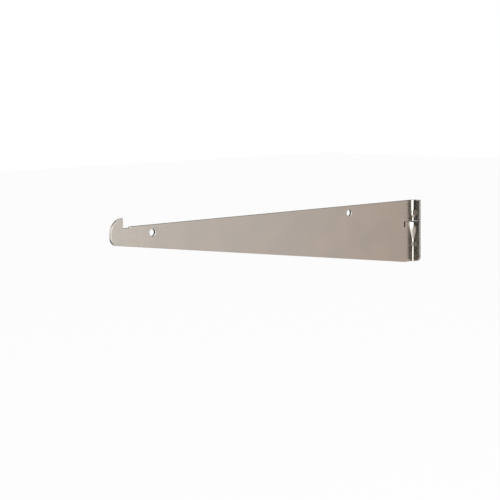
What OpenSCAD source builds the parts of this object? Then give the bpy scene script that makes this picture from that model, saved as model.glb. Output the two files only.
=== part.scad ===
// Slotted shelf bracket: one blank of sheet steel, folded once and hooked at the rear.
// Frame: the plane y = 0 is the back of the flange, where it lies on the upright.
// The blade's mid-plane is x = 0 and its nose points to -Y. The flange is on the +X side.
// The shelf rests on the straight top edge, at z = 0. Millimetres.

/* [Blade] */
// Distance from the upright's face to the tip of the nose
reach = 300; // [150:1:450]
// Height of the blade at the rear
rear_h = 49; // [46:0.5:80]
// Height of the blade below the shelf line, at the foot of the nose
front_h = 12.1; // [11:0.1:20]
// Thickness of the sheet
sheet_t = 1.9; // [1.2:0.1:2.4]
// Length of the level stretch of the bottom edge, next to the flange
rear_flat = 12; // [10:0.5:20]

/* [Nose] */
// Length of the upstanding nose, ahead of the shelf
nose_l = 10.4; // [8:0.1:16]
// Height of the nose above the shelf line
nose_rise = 6; // [3:0.5:10]
// Radius of the nose's lower corner
nose_foot_r = 5.5; // [3:0.1:6]
// Length of the shallow step behind the nose
notch_l = 5.6; // [3:0.1:12]
// Depth of the shallow step below the shelf line
notch_d = 0.8; // [0.3:0.1:2]

/* [Screw holes] */
// Diameter of the two shelf-clip holes
hole_d = 4.8; // [3:0.1:6]
// Depth of the hole centres below the shelf line
hole_down = 5.5; // [4:0.1:7]
// Distance from the tip of the nose to the front hole
front_hole_in = 34.8; // [25:0.1:60]
// Distance from the upright's face to the rear hole
rear_hole_out = 75.2; // [30:0.1:100]

/* [Fold and flange] */
// Distance from the blade's mid-plane to the outer edge of the flange
flange_w = 7.1; // [6.8:0.1:12]
// Radius of the flange's lower outer corner
flange_corner_r = 3.8; // [1:0.1:4]
// Inside radius of the fold at the shelf line
fold_r_top = 2.5; // [1:0.1:3]
// Inside radius of the fold above the slit and at its lower end
fold_r = 1.3; // [1:0.1:3]
// Inside radius of the fold at the struck lobe, just below the slit
lobe_r = 5.2; // [2:0.1:5.4]
// Height below the slit over which the lobe keeps its full radius
lobe_hold = 2.5; // [0.5:0.1:2.5]
// Height over which the lobe then runs out into the plain fold
lobe_l = 14; // [8:0.5:14]

/* [Slit] */
// Depth of the slit below the shelf line
slit_down = 16.8; // [16.4:0.1:18]
// Width of the slit
slit_w = 0.25; // [0.15:0.05:0.9]
// Distance from the upright's face to the inner end of the slit
slit_l = 13; // [10:0.5:20]
// Length of the relief cut that runs down from the slit's inner end
relief_l = 4.2; // [1:0.1:6]
// Width of the relief cut
relief_w = 1.6; // [0.3:0.1:2]

/* [Hooks] */
// Spacing of the slots that the hooks enter
slot_pitch = 25.4; // [24:0.1:26]
// Depth of the upper hook's neck below the shelf line
hook_down = 8.6; // [7:0.1:9]
// Height of a hook's neck, which rests on the end of a slot
neck_h = 3.3; // [2.5:0.1:4]
// Room between the upright's face and a hook's tail, for the wall of the upright
hook_gap = 1.2; // [0.8:0.1:1.4]
// Width of a hook's tail
tail_w = 1.4; // [1.2:0.1:1.8]
// Drop of a hook's tail below its neck
tail_drop = 3.6; // [2:0.1:4.2]
// Sideways set of the hooks from the blade's mid-plane, towards the flange
hook_set = 0.5; // [0.2:0.1:0.8]
// Inside radius where a hook is set back straight
hook_set_r = 0.6; // [0.3:0.1:1]
// Gap cut round a hook when it is lanced out of the flange
lance_gap = 0.2; // [0.1:0.05:0.3]

/* [Hidden] */
$fn = 64;
// Steps in each quarter of a round that is drawn as points
arc_steps = 16;
// Height steps in which the lobe runs out, and in which the fold tightens above the slit
loft_steps = 20;
tighten_steps = 8;
// Overshoot of a cut past the face that it leaves
past = 1;
// Overlap of pieces of the blank that run into each other
join = 0.4;
half_t = sheet_t / 2;
// How far the fold's lofted stretch reaches forward into the blade
fold_zone = sheet_t + max(lobe_r, fold_r_top, fold_r) + 1;
hook_tip = hook_gap + tail_w;
hook_round = tail_w / 2;
slit_top = -slit_down + slit_w / 2;
slit_bottom = -slit_down - slit_w / 2;
neck_foot = hook_down + neck_h;
// Height over which the fold tightens from the shelf line's radius, above the slit
tighten_l = (slit_down - neck_foot) / 2;
// The nose is a quarter round on top, and its lower corner is tangent to the bottom edge
nose_top_r = nose_l;
foot_y = -reach + nose_foot_r;
bottom_rise = rear_h - front_h;
bottom_run = reach - nose_foot_r - rear_flat;
bottom_angle = atan(bottom_rise / bottom_run);

// A smooth ramp from 0 to 1
function ramp(s) = s <= 0 ? 0 : s >= 1 ? 1 : s * s * (3 - 2 * s);

// Inside radius of the fold at a height
function fold_radius(z) =
    z >= slit_top
        ? fold_r_top + (fold_r - fold_r_top) * ramp((-z - neck_foot) / tighten_l)
        : lobe_r + (fold_r - lobe_r) * ramp((slit_bottom - lobe_hold - z) / lobe_l);

// Points of an arc about a centre, from one angle to another
function arc(centre, r, from, to, steps = arc_steps) =
    [for (i = [0:steps]) centre + r * [cos(from + (to - from) * i / steps), sin(from + (to - from) * i / steps)]];

// Plan of the folded sheet: blade strip, quarter bend and flange
function fold_plan(r) =
    let (centre = [half_t + r, -sheet_t - r])
    concat(
        [[half_t, -fold_zone]],
        arc(centre, r, 180, 90),
        [[flange_w, -sheet_t], [flange_w, 0]],
        arc(centre, r + sheet_t, 90, 180),
        [[-half_t, -fold_zone]]
    );

// Turn that sets a hook over by hook_set, where the fold has inside radius r
function set_angle(r) = acos(1 - hook_set / (r + hook_set_r + sheet_t));

// Plan of a hook: out of the bend, then set back straight through the slot
function hook_plan(r) =
    let (
        turn = set_angle(r),
        bend_at = [half_t + r, -sheet_t - r],
        back_at = [hook_set - half_t - hook_set_r, bend_at[1] + (r + hook_set_r + sheet_t) * sin(turn)]
    )
    concat(
        [[half_t, bend_at[1] - join]],
        arc(bend_at, r, 180, 180 - turn),
        arc(back_at, hook_set_r + sheet_t, -turn, 0),
        [[hook_set + half_t, hook_tip], [hook_set - half_t, hook_tip]],
        arc(back_at, hook_set_r, 0, -turn),
        arc(bend_at, r + sheet_t, 180 - turn, 180),
        [[-half_t, bend_at[1] - join]]
    );

// Outer end of the blank that a hook was cut from, measured on the flange
function blank_end(r) = hook_tip + sheet_t + r - (r + half_t) * PI / 2 + half_t + r;

// Side outline of the blade, drawn with the length on X and the height on Y
module blade_outline() {
    top_centre = [-reach + nose_top_r, nose_rise - nose_top_r];
    foot_centre = [foot_y, -front_h + nose_foot_r];
    polygon(concat(
        [[-sheet_t - fold_r, 0], [-reach + nose_l + notch_l, 0]],
        [[-reach + nose_l + notch_l, -notch_d], [-reach + nose_l, -notch_d]],
        arc(top_centre, nose_top_r, 90, 180),
        arc(foot_centre, nose_foot_r, 180, 270 - bottom_angle),
        [[-rear_flat, -rear_h], [-sheet_t - fold_r, -rear_h]]
    ));
}

// Stands a side outline up in the blade's plane, from x = x0, with a thickness
module upright_sheet(x0, thick) {
    translate([x0, 0, 0]) rotate([90, 0, 90]) linear_extrude(thick) children();
}

// The flat blade, up to the stretch where the fold begins
module blade() {
    difference() {
        upright_sheet(-half_t, sheet_t) blade_outline();
        translate([-sheet_t, -fold_zone, -rear_h - past])
            cube([2 * sheet_t, 2 * fold_zone, rear_h + 2 * past]);
    }
}

// Heights of the plans that the fold is lofted through, from the foot up
fold_heights = concat(
    [-rear_h],
    [for (i = [0:loft_steps]) slit_bottom - lobe_hold - lobe_l * (1 - i / loft_steps)],
    [slit_bottom],
    [for (i = [0:tighten_steps]) slit_top + (slit_down - slit_w / 2 - neck_foot) * i / tighten_steps],
    [0]
);

// Fold and flange over the whole height, still without slit, windows and hooks
module folded_end() {
    ring = len(fold_plan(fold_r));
    points = [for (z = fold_heights, p = fold_plan(fold_radius(z))) [p[0], p[1], z]];
    last = len(fold_heights) - 1;
    walls = [
        for (i = [0:last - 1], j = [0:ring - 1])
            let (a = i * ring + j, b = i * ring + (j + 1) % ring)
            each [[a, a + ring, b], [b, a + ring, b + ring]]
    ];
    // Each end is capped with strips from the inner side of the sheet to its outer side
    caps = [
        for (j = [0:ring / 2 - 2])
            let (across = ring - 1 - j, head = last * ring)
            each [[j, j + 1, across - 1, across], [head + across, head + across - 1, head + j + 1, head + j]]
    ];
    polyhedron(points, concat(caps, walls), convexity = 6);
}

// Everything outside the flange's rounded lower corner
module flange_corner_cut() {
    translate([flange_w - flange_corner_r, past, -rear_h + flange_corner_r]) rotate([90, 0, 0])
        linear_extrude(fold_zone) difference() {
            translate([0, -flange_corner_r - past]) square([flange_corner_r + past, flange_corner_r + past]);
            circle(flange_corner_r);
        }
}

// The slit through the blade's rear end, with its relief cut
module slit() {
    translate([-flange_w, -slit_l, slit_bottom]) cube([3 * flange_w, slit_l + past, slit_w]);
    translate([-flange_w, -slit_l, slit_bottom - relief_l]) cube([3 * flange_w, relief_w, relief_l + slit_w]);
}

// Window that one hook leaves in the flange, with the neck's top at z
module hook_window(z, r) {
    edge = blank_end(r) + lance_gap;
    tail_side = edge - tail_w - 2 * lance_gap;
    translate([-sheet_t, -sheet_t - r, z - neck_h])
        cube([edge + sheet_t, sheet_t + r + past, neck_h + lance_gap]);
    translate([tail_side, -sheet_t - r, z - neck_h - tail_drop - lance_gap])
        cube([edge - tail_side, sheet_t + r + past, tail_drop + neck_h]);
}

// One hook, with the neck's top at z
module hook(z, r) {
    tail_foot = z - neck_h - tail_drop;
    intersection() {
        translate([0, 0, tail_foot]) linear_extrude(neck_h + tail_drop) polygon(hook_plan(r));
        upright_sheet(-flange_w, 3 * flange_w) {
            translate([-fold_zone, z - neck_h]) square([fold_zone + hook_tip - hook_round, neck_h]);
            translate([hook_gap, tail_foot + hook_round])
                square([tail_w, neck_h + tail_drop - 2 * hook_round]);
            translate([hook_gap + hook_round, tail_foot + hook_round]) circle(hook_round);
            translate([hook_tip - hook_round, z - hook_round]) circle(hook_round);
        }
    }
}

module bracket() color("rosybrown") {
    radii = [fold_r_top, fold_r];
    difference() {
        union() {
            blade();
            folded_end();
        }
        flange_corner_cut();
        slit();
        for (i = [0:1]) hook_window(-hook_down - i * slot_pitch, radii[i]);
        for (y = [-reach + front_hole_in, -rear_hole_out])
            translate([-sheet_t, y, -hole_down]) rotate([0, 90, 0]) cylinder(h = 2 * sheet_t, d = hole_d);
    }
    for (i = [0:1]) hook(-hook_down - i * slot_pitch, radii[i]);
}

bracket();
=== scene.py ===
"""Dresses, lights and frames a slotted shelf bracket of plated sheet steel."""

from __future__ import annotations

import logging
import math
from dataclasses import dataclass, field
from enum import Enum

import bmesh
import bpy
from mathutils import Matrix, Vector

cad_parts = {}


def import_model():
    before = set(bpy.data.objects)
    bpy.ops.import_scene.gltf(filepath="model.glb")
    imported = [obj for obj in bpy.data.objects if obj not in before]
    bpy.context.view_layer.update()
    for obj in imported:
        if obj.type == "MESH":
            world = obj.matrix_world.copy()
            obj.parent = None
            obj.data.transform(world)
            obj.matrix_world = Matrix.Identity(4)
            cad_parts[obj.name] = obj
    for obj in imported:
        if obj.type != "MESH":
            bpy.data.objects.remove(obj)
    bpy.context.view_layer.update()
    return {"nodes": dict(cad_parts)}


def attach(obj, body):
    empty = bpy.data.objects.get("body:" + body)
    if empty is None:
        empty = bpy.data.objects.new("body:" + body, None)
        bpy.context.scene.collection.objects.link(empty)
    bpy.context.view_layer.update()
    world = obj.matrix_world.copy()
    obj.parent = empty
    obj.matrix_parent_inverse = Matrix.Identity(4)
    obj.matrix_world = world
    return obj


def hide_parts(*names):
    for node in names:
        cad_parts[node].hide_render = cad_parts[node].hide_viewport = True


LOG = logging.getLogger("shelf_bracket")
MM = 0.001
FRAME_PX = 500


class Axis(Enum):
    """A direction of the bracket's own frame."""

    ACROSS = 0
    ALONG = 1
    UP = 2


class Ray(Enum):
    """Kinds of ray that see the plain white surroundings."""

    CAMERA = "Is Camera Ray"
    GLOSSY = "Is Glossy Ray"
    CLEAR = "Is Transmission Ray"


class Value:
    """A number socket that takes part in Python arithmetic."""

    def __init__(self, shader: Shader, socket: bpy.types.NodeSocket) -> None:
        """Wraps a socket of one shader's tree."""
        self.shader = shader
        self.socket = socket

    def _math(self, operation: str, *others: Value | float) -> Value:
        """Adds one Math node.

        Args:
            operation: Name of the Math node's operation.
            others: The operands after this one.

        Returns:
            The node's result.
        """
        return self.shader.math(operation, self, *others)

    def __add__(self, other: Value | float) -> Value:
        """This plus the other."""
        return self._math("ADD", other)

    def __radd__(self, other: float) -> Value:
        """A number plus this."""
        return self._math("ADD", other)

    def __sub__(self, other: Value | float) -> Value:
        """This less the other."""
        return self._math("SUBTRACT", other)

    def __rsub__(self, other: float) -> Value:
        """A number less this."""
        return self.shader.math("SUBTRACT", other, self)

    def __mul__(self, other: Value | float) -> Value:
        """This times the other."""
        return self._math("MULTIPLY", other)

    def __rmul__(self, other: float) -> Value:
        """A number times this."""
        return self._math("MULTIPLY", other)

    def __abs__(self) -> Value:
        """This without its sign."""
        return self._math("ABSOLUTE")

    def ramp(self, low: float, high: float) -> Value:
        """A smooth rise from 0 at low to 1 at high."""
        return self.shader.node(
            "ShaderNodeMapRange",
            {"interpolation_type": "SMOOTHSTEP"},
            {"Value": self, "From Min": low, "From Max": high},
        )

    def larger(self, other: Value) -> Value:
        """The larger of the two."""
        return self._math("MAXIMUM", other)

    def smaller(self, other: Value) -> Value:
        """The smaller of the two."""
        return self._math("MINIMUM", other)


class Shader:
    """One node tree, and the calls that add nodes to it."""

    COLOUR_FIRST = 6
    COLOUR_SECOND = 7
    COLOUR_RESULT = 2

    def __init__(self, tree: bpy.types.NodeTree) -> None:
        """Empties the tree."""
        self.tree = tree
        tree.nodes.clear()

    def plug(self, socket: bpy.types.NodeSocket, value: object) -> None:
        """Links a socket to a node's result, or sets it to a plain value.

        Args:
            socket: The input socket.
            value: A Value, a socket, a number or a tuple.
        """
        if isinstance(value, Value):
            self.tree.links.new(value.socket, socket)
        elif isinstance(value, bpy.types.NodeSocket):
            self.tree.links.new(value, socket)
        else:
            socket.default_value = value

    def node(self, kind: str, settings: dict, inputs: dict, output: str | int = 0) -> Value:
        """Adds any node.

        Args:
            kind: The node's type.
            settings: Attributes that are set before the sockets.
            inputs: Socket name or number, and its value or link.
            output: Name or number of the wanted result.

        Returns:
            The wanted result.
        """
        made = self.tree.nodes.new(kind)
        for name, setting in settings.items():
            setattr(made, name, setting)
        for name, value in inputs.items():
            self.plug(made.inputs[name], value)
        return Value(self, made.outputs[output])

    def math(self, operation: str, *operands: Value | float) -> Value:
        """Adds a Math node with its operands in order."""
        return self.node("ShaderNodeMath", {"operation": operation}, dict(enumerate(operands)))

    def split(self, vector: Value) -> list[Value]:
        """The three parts of a vector."""
        made = self.tree.nodes.new("ShaderNodeSeparateXYZ")
        self.plug(made.inputs[0], vector)
        return [Value(self, made.outputs[axis.value]) for axis in Axis]

    def stretched(self, vector: Value, scale: tuple[float, float, float]) -> Value:
        """A vector with each part multiplied by its own scale."""
        return self.node(
            "ShaderNodeVectorMath", {"operation": "MULTIPLY"}, {0: vector, 1: scale}
        )

    def noise(self, vector: Value, detail: float = 2.0, roughness: float = 0.5) -> Value:
        """Plain noise of about one cell for each unit of the vector, from 0 to 1."""
        return self.node(
            "ShaderNodeTexNoise", {},
            {"Vector": vector, "Scale": 1.0, "Detail": detail, "Roughness": roughness},
        )

    def blend(self, factor: Value | float, first: object, second: object) -> Value:
        """A colour between two colours."""
        return self.node(
            "ShaderNodeMix", {"data_type": "RGBA"},
            {0: factor, self.COLOUR_FIRST: first, self.COLOUR_SECOND: second},
            self.COLOUR_RESULT,
        )

    def show(self, kind: str, surface: Value) -> None:
        """Ends the tree with its output node, fed by one shader."""
        self.plug(self.tree.nodes.new(kind).inputs["Surface"], surface)

    def sees_white(self) -> Value:
        """1 for the rays that see the plain white surroundings."""
        path = self.tree.nodes.new("ShaderNodeLightPath")
        rays = [Value(self, path.outputs[ray.value]) for ray in Ray]
        return rays[0].larger(rays[1]).larger(rays[2])


@dataclass(frozen=True)
class PlatedSteel:
    """Satin-bright plating over sheet steel, darker on the sheet's cut edges, with painted shade
    on the inner walls, under the slit and on the hooks.
    """

    slot: str = "plated_steel"
    inner_mark: str = "inner_cut"
    face_colour: tuple[float, float, float, float] = (0.460, 0.394, 0.345, 1.0)
    cloud_colour: tuple[float, float, float, float] = (0.430, 0.380, 0.340, 1.0)
    edge_colour: tuple[float, float, float, float] = (0.24, 0.225, 0.21, 1.0)
    # Near black: painted shade for the inner walls, the strip under the slit and the hooks.
    shear_and_shade_colour: tuple[float, float, float, float] = (0.05, 0.046, 0.043, 1.0)
    face_roughness: float = 0.22
    face_unevenness: float = 0.10
    edge_roughness: float = 0.26
    edge_unevenness: float = 0.16
    inner_roughness: float = 0.95
    facing: tuple[float, float] = (0.35, 0.75)
    mask_blur: float = 0.1 * MM
    fold_start: float = -8.0 * MM
    fold_end: float = -4.0 * MM
    flange_side: float = 6.8 * MM
    # A painted shadow line just below the slit.
    shadow_strip_height: float = -17.35 * MM
    shadow_strip_core: float = 0.35 * MM
    shadow_strip_half: float = 0.5 * MM
    neck_front: float = -3.0 * MM
    neck_back: float = -2.6 * MM
    neck_side: float = 1.8 * MM
    neck_heights: tuple[float, float] = (-10.25 * MM, -35.65 * MM)
    neck_half: float = 1.6 * MM
    # How far the hooks are darkened by painted shade.
    hook_shade_strength: float = 0.65
    cloud_range: tuple[float, float] = (0.3, 0.7)
    cloud_cells: tuple[float, float, float] = (0.0, 40.0, 55.0)
    grain_cells: tuple[float, float, float] = (300.0, 220.0, 3800.0)
    shear_cells: tuple[float, float, float] = (350.0, 3200.0, 3200.0)
    grain_detail: float = 4.0
    grain_roughness: float = 0.6
    grain_depth: float = 0.004 * MM
    shear_depth: float = 0.02 * MM
    bump_strength: float = 0.6

    def cut_mask(self, shader: Shader, place: Value) -> Value:
        """Finds the cut edges of the sheet by the way that they face.

        Args:
            shader: The tree to add to.
            place: Object coordinates.

        Returns:
            1 on a cut edge and 0 on the sheet's own faces.
        """
        normal = shader.node("ShaderNodeNewGeometry", {}, {}, "True Normal")
        across, _, up = [abs(part).ramp(*self.facing) for part in shader.split(normal)]
        sideways, along, _ = shader.split(place)
        folded = along.ramp(self.fold_start, self.fold_end)
        on_side = across * sideways.ramp(self.flange_side - 2 * self.mask_blur, self.flange_side)
        return (1.0 - across) * (1.0 - folded) + up.larger(on_side) * folded

    def shear_and_shade_mask(self, shader: Shader, place: Value) -> Value:
        """Finds the inner walls, and a narrow strip just below the slit.

        The strip is no shape: it is a painted shadow that widens the slit's thin dark line. The
        inner walls get painted shade as well as the rough look of sheared steel.

        Args:
            shader: The tree to add to.
            place: Object coordinates.

        Returns:
            1 where painted shade and rough shear darken the sheet, and 0 where it is bright.
        """
        inner = shader.node(
            "ShaderNodeAttribute", {"attribute_name": self.inner_mark}, {}, "Fac"
        )
        _, along, height = shader.split(place)
        reach = abs(height - self.shadow_strip_height)
        strip = 1.0 - reach.ramp(self.shadow_strip_core, self.shadow_strip_half)
        return inner.larger(strip * along.ramp(self.fold_start, self.fold_end))

    def hook_shade_mask(self, shader: Shader, place: Value) -> Value:
        """Finds the hooks, which get painted shade and show darker than the sheet.

        Args:
            shader: The tree to add to.
            place: Object coordinates.

        Returns:
            1 on a hook and 0 elsewhere.
        """
        sideways, along, height = shader.split(place)
        upper, lower = [abs(height - middle) for middle in self.neck_heights]
        beside = abs(sideways).ramp(self.neck_side - self.mask_blur, self.neck_side)
        beyond = upper.smaller(lower).ramp(self.neck_half, self.neck_half + self.mask_blur)
        behind = along.ramp(self.neck_front, self.neck_back)
        tail = along.ramp(0.0, self.mask_blur)
        return tail.larger(behind * (1.0 - beside) * (1.0 - beyond))

    def make(self) -> bpy.types.Material:
        """Builds the finish.

        Returns:
            The material.
        """
        material = bpy.data.materials.new(self.slot)
        material.use_nodes = True
        shader = Shader(material.node_tree)
        place = shader.node("ShaderNodeTexCoord", {}, {}, "Object")
        cut = self.cut_mask(shader, place)
        cloud = shader.noise(shader.stretched(place, self.cloud_cells)).ramp(*self.cloud_range)
        grain_place = shader.stretched(place, self.grain_cells)
        grain = shader.noise(grain_place, self.grain_detail, self.grain_roughness)
        shear = shader.noise(shader.stretched(place, self.shear_cells))
        sheet_colour = shader.blend(cloud, self.face_colour, self.cloud_colour)
        shear_and_shade = self.shear_and_shade_mask(shader, place)
        outer_colour = shader.blend(cut, sheet_colour, self.edge_colour)
        # Painted shade: the inner walls, the strip under the slit and the hooks go towards near
        # black.
        darkness = shear_and_shade.larger(self.hook_shade_mask(shader, place) * self.hook_shade_strength)
        colour = shader.blend(darkness, outer_colour, self.shear_and_shade_colour)
        rough_face = self.face_roughness + (grain - 0.5) * self.face_unevenness
        rough_edge = self.edge_roughness + (shear - 0.5) * self.edge_unevenness
        rough_outer = rough_face * (1.0 - cut) + rough_edge * cut
        relief = grain * (1.0 - cut) * self.grain_depth + shear * cut * self.shear_depth
        bump = shader.node(
            "ShaderNodeBump", {},
            {"Height": relief, "Strength": self.bump_strength, "Distance": 1.0},
        )
        surface = shader.node(
            "ShaderNodeBsdfPrincipled", {},
            {
                "Base Color": colour,
                "Metallic": 1.0 - shear_and_shade,
                "Roughness": rough_outer * (1.0 - shear_and_shade) + shear_and_shade * self.inner_roughness,
                "Normal": bump,
            },
        )
        shader.show("ShaderNodeOutputMaterial", surface)
        return material


@dataclass
class Bracket:
    """The folded bracket: the CAD sheet with its stamped edges rounded."""

    node: str = "bracket"
    body: str = "root"
    finish: PlatedSteel = field(default_factory=PlatedSteel)
    weld_distance: float = 0.002 * MM
    flat_angle_deg: float = 0.3
    sharp_angle_deg: float = 32.0
    edge_round: float = 0.35 * MM
    edge_steps: int = 3
    pierced_front: float = -13.5 * MM
    pierced_top: float = -8.2 * MM
    pierced_foot: float = -42.0 * MM
    sheet: float = 1.9 * MM
    holes: tuple[tuple[float, float], ...] = ((-75.2 * MM, -5.5 * MM), (-265.2 * MM, -5.5 * MM))
    hole_reach: float = 3.2 * MM
    wall_facing: float = 0.6

    def _is_pierced(self, place: Vector) -> bool:
        """Tells whether a place lies in the pierced end, round the slit and the hooks."""
        in_height = self.pierced_foot < place.z < self.pierced_top
        in_width = place.x < self.finish.flange_side
        return in_height and in_width and place.y > self.pierced_front

    def _is_inner(self, face: bmesh.types.BMFace) -> bool:
        """Tells whether a face is a wall of a hole, a window or the slit.

        Args:
            face: A face of the rounded sheet.

        Returns:
            True for a wall inside the sheet's outline, which gets painted shade and a rough
            sheared look.
        """
        place, facing = face.calc_center_median(), face.normal
        if any(math.hypot(place.y - y, place.z - z) < self.hole_reach for y, z in self.holes):
            return abs(facing.x) < self.wall_facing
        if place.y > 0.0 or not self._is_pierced(place):
            return False
        in_blade = abs(facing.y) > self.wall_facing and place.y < self.finish.fold_start
        in_flange = abs(facing.x) > self.wall_facing and place.y > -self.sheet
        return abs(facing.z) > self.wall_facing or in_blade or in_flange

    def _is_rim(self, edge: bmesh.types.BMEdge) -> bool:
        """Tells whether an edge is a sharp one of the outline or of a hole.

        Args:
            edge: An edge of the welded sheet.

        Returns:
            True for an edge to round. The slit and the hooks stay crisp.
        """
        if edge.calc_face_angle(0.0) < math.radians(self.sharp_angle_deg):
            return False
        return not self._is_pierced((edge.verts[0].co + edge.verts[1].co) / 2)

    def _rounded(self, cad_mesh: bpy.types.Mesh) -> bpy.types.Mesh:
        """Welds, simplifies and rounds a copy of the CAD mesh.

        Args:
            cad_mesh: The node's own mesh, which stays as it is.

        Returns:
            The new mesh, smooth over the fold and sharp at its crisp edges.
        """
        shape = bmesh.new()
        shape.from_mesh(cad_mesh)
        bmesh.ops.remove_doubles(shape, verts=shape.verts[:], dist=self.weld_distance)
        bmesh.ops.dissolve_degenerate(shape, edges=shape.edges[:], dist=self.weld_distance)
        bmesh.ops.dissolve_limit(
            shape, angle_limit=math.radians(self.flat_angle_deg), verts=shape.verts[:],
            edges=shape.edges[:],
        )
        rims = [edge for edge in shape.edges if self._is_rim(edge)]
        bmesh.ops.bevel(
            shape, geom=rims, offset=self.edge_round, offset_type="OFFSET",
            segments=self.edge_steps, profile=0.5, affect="EDGES", clamp_overlap=False,
        )
        shape.normal_update()
        inner = shape.faces.layers.float.new(self.finish.inner_mark)
        for face in shape.faces:
            face.smooth = True
            face.material_index = 0
            # Marks the walls that the finish gives painted shade.
            face[inner] = float(self._is_inner(face))
        for edge in shape.edges:
            edge.smooth = edge.calc_face_angle(0.0) < math.radians(self.sharp_angle_deg)
        mesh = bpy.data.meshes.new("plated_sheet")
        shape.to_mesh(mesh)
        shape.free()
        return mesh

    def build(self, nodes: dict[str, bpy.types.Object]) -> bpy.types.Object:
        """Makes the sheet that stands for the CAD node.

        Args:
            nodes: The frame's CAD nodes.

        Returns:
            The sheet's object.
        """
        mesh = self._rounded(nodes[self.node].data)
        mesh.materials.append(self.finish.make())
        sheet = bpy.data.objects.new("plated_sheet", mesh)
        bpy.context.scene.collection.objects.link(sheet)
        even = sheet.modifiers.new("even_shading", "WEIGHTED_NORMAL")
        even.keep_sharp = True
        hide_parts(self.node)
        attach(sheet, self.body)
        return sheet


@dataclass(frozen=True)
class Card:
    """A studio card or soft lamp, placed by its direction from the bracket.

    A bearing is measured from +X towards +Y, and a rise from the level, in degrees.
    """

    name: str
    bearing_deg: float
    rise_deg: float
    distance: float
    width: float
    tall: float
    tone: tuple[float, float, float] = (1.0, 1.0, 1.0)
    watts: float = 0.0

    def matrix(self, aim: Vector) -> Matrix:
        """Where the card stands, facing the bracket.

        Args:
            aim: The point that the card faces.

        Returns:
            Its world matrix, with local -Z towards the aim.
        """
        bearing, rise = math.radians(self.bearing_deg), math.radians(self.rise_deg)
        out = Vector((
            math.cos(bearing) * math.cos(rise), math.sin(bearing) * math.cos(rise), math.sin(rise)
        ))
        turn = (-out).to_track_quat("-Z", "Y")
        return Matrix.Translation(aim + out * self.distance) @ turn.to_matrix().to_4x4()


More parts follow.
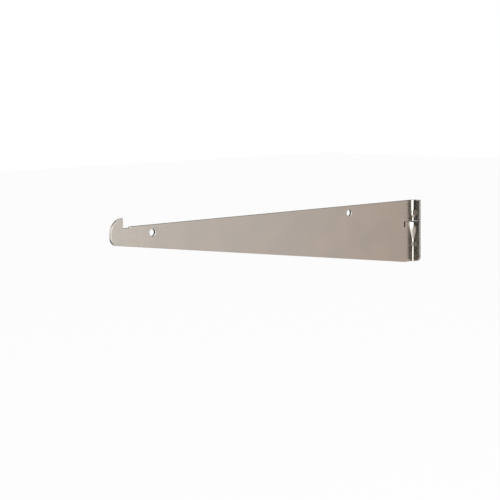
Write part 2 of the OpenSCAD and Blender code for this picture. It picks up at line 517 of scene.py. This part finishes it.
@dataclass
class Studio:
    """A white room with a pale floor, soft lamps, and cards for the metal to reflect."""

    aim: Vector = field(default_factory=lambda: Vector((0.0, -0.12, -0.02)))
    floor_z: float = -0.5
    floor_half: float = 8.0
    floor_albedo: float = 0.8
    floor_glow: float = 0.95
    room_level: float = 0.55
    lamps: tuple[Card, ...] = (
        Card("soft_lamp", -5.0, 8.0, 1.6, 1.85, 1.4, (0.80, 0.97, 1.0), 33.0),
        Card("top_lamp", 60.0, 66.0, 1.75, 1.4, 1.4, (1.0, 1.0, 1.0), 16.0),
    )
    cards: tuple[Card, ...] = (
        Card("camera_side", -64.0, -2.0, 1.7, 1.8, 1.2, (0.01, 0.012, 0.012)),
        Card("nose_side", -131.0, 13.5, 1.2, 0.5, 1.08, (3.4, 3.3, 3.2)),
        Card("far_side", 84.0, -4.0, 1.5, 2.2, 1.2, (0.80, 0.73, 0.67)),
        Card("over_nose", -165.0, 66.0, 1.2, 1.3, 1.3, (0.01, 0.01, 0.01)),
        Card("under_nose", 176.0, -38.0, 0.62, 0.9, 0.62, (0.01, 0.01, 0.01)),
        Card("over_rear", 76.0, 44.0, 1.2, 1.9, 0.9, (0.02, 0.02, 0.02)),
    )

    def build(self) -> None:
        """Builds the room, the floor, the lamps and the cards."""
        self._room()
        self._floor()
        for lamp in self.lamps:
            self._lamp(lamp)
        for card in self.cards:
            self._card(card)

    def _room(self) -> None:
        """White to the camera and to gloss, and a plain level to everything else."""
        world = bpy.data.worlds.new("room")
        bpy.context.scene.world = world
        world.use_nodes = True
        shader = Shader(world.node_tree)
        white = shader.sees_white()
        strength = white + (1.0 - white) * self.room_level
        light = shader.node(
            "ShaderNodeBackground", {}, {"Color": (1.0, 1.0, 1.0, 1.0), "Strength": strength}
        )
        shader.show("ShaderNodeOutputWorld", light)

    def _board(self, name: str, half_x: float, half_y: float) -> bpy.types.Object:
        """Adds a flat rectangle that isn't part of the object.

        Args:
            name: Its name.
            half_x: Half its width.
            half_y: Half its height.

        Returns:
            Its object, with an empty node material.
        """
        mesh = bpy.data.meshes.new(name)
        signs = ((-1, -1), (1, -1), (1, 1), (-1, 1))
        mesh.from_pydata([(x * half_x, y * half_y, 0) for x, y in signs], [], [(0, 1, 2, 3)])
        material = bpy.data.materials.new(name)
        material.use_nodes = True
        mesh.materials.append(material)
        board = bpy.data.objects.new(name, mesh)
        bpy.context.scene.collection.objects.link(board)
        return board

    def _floor(self) -> None:
        """A pale floor far below the bracket, close to plain white for the camera."""
        floor = self._board("floor", self.floor_half, self.floor_half)
        floor.location.z = self.floor_z
        shader = Shader(floor.data.materials[0].node_tree)
        grey = (self.floor_albedo,) * 3 + (1.0,)
        paint = shader.node("ShaderNodeBsdfDiffuse", {}, {"Color": grey})
        glow = shader.node("ShaderNodeEmission", {}, {"Strength": 1.0})
        mixed = shader.node(
            "ShaderNodeMixShader", {},
            {0: shader.sees_white() * self.floor_glow, 1: paint, 2: glow},
        )
        shader.show("ShaderNodeOutputMaterial", mixed)

    def _lamp(self, card: Card) -> None:
        """Adds a rectangular soft lamp.

        Args:
            card: Its place, size, tint and power.
        """
        data = bpy.data.lights.new(card.name, "AREA")
        data.shape = "RECTANGLE"
        data.size = card.width
        data.size_y = card.tall
        data.color = card.tone
        data.energy = card.watts
        lamp = bpy.data.objects.new(card.name, data)
        lamp.matrix_world = card.matrix(self.aim)
        bpy.context.scene.collection.objects.link(lamp)

    def _card(self, card: Card) -> None:
        """Adds a toned card, hidden from the camera, diffuse light and shadows.

        Args:
            card: Its place, size and tone.
        """
        board = self._board(card.name, card.width / 2, card.tall / 2)
        board.matrix_world = card.matrix(self.aim)
        board.visible_camera = False
        board.visible_diffuse = False
        board.visible_shadow = False
        shader = Shader(board.data.materials[0].node_tree)
        paint = shader.node("ShaderNodeEmission", {}, {"Color": (*card.tone, 1.0)})
        shader.show("ShaderNodeOutputMaterial", paint)


@dataclass(frozen=True)
class PhotoCamera:
    """A camera fitted to the photograph."""

    place: tuple[float, float, float] = (0.7565, -0.8616, 0.0924)
    azimuth_deg: float = 47.827
    elevation_deg: float = 6.567
    roll_deg: float = -0.761
    focal_px: float = 1439.3
    sensor: float = 36.0
    clip_start: float = 0.05

    def build(self) -> bpy.types.Object:
        """Makes the camera the scene's own.

        Returns:
            The camera's object.
        """
        turn, dip = math.radians(self.azimuth_deg), math.radians(self.elevation_deg)
        ahead = Vector((
            -math.sin(turn) * math.cos(dip), math.cos(turn) * math.cos(dip), -math.sin(dip)
        ))
        level = Vector((math.cos(turn), math.sin(turn), 0.0))
        roll = Matrix.Rotation(-math.radians(self.roll_deg), 3, ahead)
        right = roll @ level
        up = right.cross(ahead)
        facing = Matrix((right, up, -ahead)).transposed().to_4x4()
        data = bpy.data.cameras.new("photo_camera")
        data.sensor_width = self.sensor
        data.lens = self.focal_px / FRAME_PX * self.sensor
        data.clip_start = self.clip_start
        camera = bpy.data.objects.new("photo_camera", data)
        camera.matrix_world = Matrix.Translation(self.place) @ facing
        bpy.context.scene.collection.objects.link(camera)
        bpy.context.scene.camera = camera
        return camera


def main() -> None:
    """Builds the scene in order and reports each piece."""
    logging.basicConfig(level=logging.INFO, format="%(name)s: %(message)s")
    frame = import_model()
    camera = PhotoCamera().build()
    LOG.info("camera: %.1f mm lens", camera.data.lens)
    Studio().build()
    LOG.info("studio: room, floor, soft lamps and cards")
    sheet = Bracket().build(frame["nodes"])
    LOG.info("%s: %d faces, edges rounded and plated", sheet.name, len(sheet.data.polygons))
    bpy.context.scene.view_settings.view_transform = "Standard"


if __name__ == "__main__":
    main()
